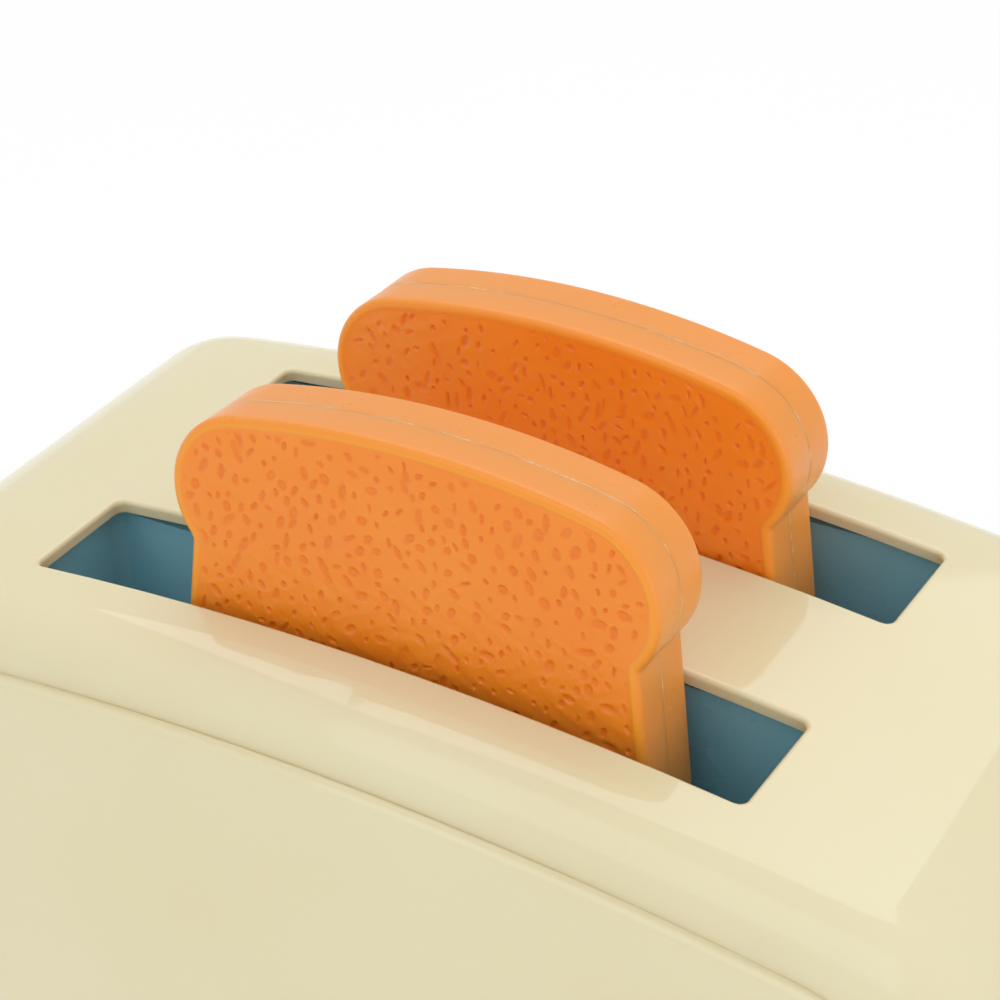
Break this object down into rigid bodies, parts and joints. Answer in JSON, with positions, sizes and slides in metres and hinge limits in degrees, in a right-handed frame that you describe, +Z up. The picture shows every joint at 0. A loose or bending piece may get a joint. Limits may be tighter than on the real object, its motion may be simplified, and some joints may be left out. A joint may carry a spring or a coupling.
{
  "type": "toy toaster",
  "caption": "Play toaster with a glossy arched housing, long top slots over moulded wells, loose toast slices, a sprung side lever and a turning dial.",
  "frame": {"origin": "on the floor under the middle of the overall box, lever knob included", "axes": "+X towards the end with the lever and dial, -Y towards the front panel, +Z up"},
  "size_m": [0.2294, 0.1186, 0.1788],
  "materials": {
    "housing": "glossy moulded cream plastic",
    "blue_parts": "moulded teal-blue plastic, satin gloss",
    "slice_plastic": "soft orange moulded plastic with a satin gloss",
    "inner_plastic": "plain white moulded plastic",
    "steel": "bright drawn steel",
    "rubber": "black rubber"
  },
  "bodies": {
    "toaster_body": {"housing_shell": "housing", "base_tray": "blue_parts", "rubber_feet": "rubber", "base_screws": "steel", "well_screws": "steel", "bridge_screws": "steel", "bracket_screws": "steel", "front_well": "blue_parts", "back_well": "blue_parts", "front_guide_rod": "steel", "back_guide_rod": "steel", "stop_buffers": "rubber", "rod_bridge": "inner_plastic", "front_return_spring": "steel", "back_return_spring": "steel", "latch_pin": "steel", "latch_bracket": "inner_plastic", "click_spring": "steel"},
    "carriage": {"carriage_plate": "inner_plastic", "front_toast_tray": "blue_parts", "back_toast_tray": "blue_parts", "tray_screws": "steel", "rod_bushes": "inner_plastic", "lever_arm": "inner_plastic", "lever_screws": "steel", "lever_knob": "blue_parts"},
    "dial": {"trip_dial": "blue_parts", "dial_shaft": "steel", "click_wheel": "inner_plastic", "trip_cam": "inner_plastic"},
    "latch": {"latch_hook": "inner_plastic"},
    "front_slice": {"front_slice_front_half": "slice_plastic", "front_slice_back_half": "slice_plastic"},
    "back_slice": {"back_slice_front_half": "slice_plastic", "back_slice_back_half": "slice_plastic"}
  },
  "joints": [
    {"name": "lever_slide", "type": "slide", "parent": "toaster_body", "child": "carriage", "axis": [0, 0, -1], "range_m": [0, 0.022], "stiffness_N_per_m": 120, "springref_m": -0.012, "deforming": ["front_return_spring", "back_return_spring"]},
    {"name": "dial_turn", "type": "hinge", "parent": "toaster_body", "child": "dial", "pos_m": [0.09625, 0, 0.04], "axis": [1, 0, 0], "range_deg": [0, 240]},
    {"name": "latch_swing", "type": "hinge", "parent": "toaster_body", "child": "latch", "pos_m": [0.07785, -0.015, 0.026], "axis": [-1, 0, 0], "range_deg": [0, 6.5]},
    {"name": "front_slice_lift", "type": "slide", "parent": "carriage", "child": "front_slice", "axis": [-0.0024, 0.0871, 0.9962], "range_m": [0, 0.06]},
    {"name": "back_slice_lift", "type": "slide", "parent": "carriage", "child": "back_slice", "axis": [-0.0001, 0.0401, 0.9992], "range_m": [0, 0.06]}
  ],
  "couplings": [
    {"joint": "latch_swing", "follows": "dial_turn", "ratio": 0.027083}
  ]
}
